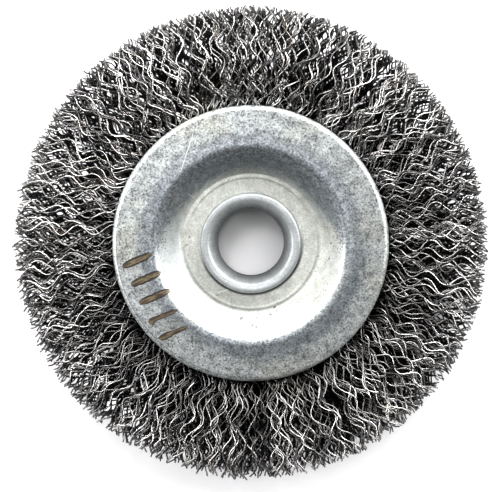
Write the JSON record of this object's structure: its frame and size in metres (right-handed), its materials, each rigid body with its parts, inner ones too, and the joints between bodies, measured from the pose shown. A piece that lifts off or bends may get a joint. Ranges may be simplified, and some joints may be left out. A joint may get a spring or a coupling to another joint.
{
  "type": "wire wheel brush",
  "caption": "Flat wheel of crimped steel wire folded over a ring, clamped between two dished plates by a flared hub eyelet with a round arbor bore.",
  "frame": {"origin": "middle of the bore, halfway between the two plates", "axes": "+Z along the bore, out of the front plate; the wheel lies flat on the back of its wires"},
  "size_m": [0.1143, 0.1148, 0.016],
  "materials": {
    "plate": "galvanised, mottled, half matt",
    "eyelet": "zinc plated, satin",
    "ring": "plain drawn steel",
    "wire": "dark drawn steel wire, bright along its bends"
  },
  "bodies": {
    "root": {"front_plate": "plate", "rear_plate": "plate", "hub_eyelet": "eyelet", "retaining_ring": "ring", "wire_hank_01": "wire", "wire_hank_02": "wire", "wire_hank_03": "wire", "wire_hank_04": "wire", "wire_hank_05": "wire", "wire_hank_06": "wire", "wire_hank_07": "wire", "wire_hank_08": "wire", "wire_hank_09": "wire", "wire_hank_10": "wire", "wire_hank_11": "wire", "wire_hank_12": "wire", "wire_hank_13": "wire", "wire_hank_14": "wire", "wire_hank_15": "wire", "wire_hank_16": "wire", "wire_hank_17": "wire", "wire_hank_18": "wire", "wire_hank_19": "wire", "wire_hank_20": "wire", "wire_hank_21": "wire", "wire_hank_22": "wire", "wire_hank_23": "wire", "wire_hank_24": "wire", "wire_hank_25": "wire", "wire_hank_26": "wire", "wire_hank_27": "wire", "wire_hank_28": "wire", "wire_hank_29": "wire", "wire_hank_30": "wire", "wire_hank_31": "wire", "wire_hank_32": "wire", "wire_hank_33": "wire", "wire_hank_34": "wire", "wire_hank_35": "wire", "wire_hank_36": "wire"}
  },
  "joints": []
}
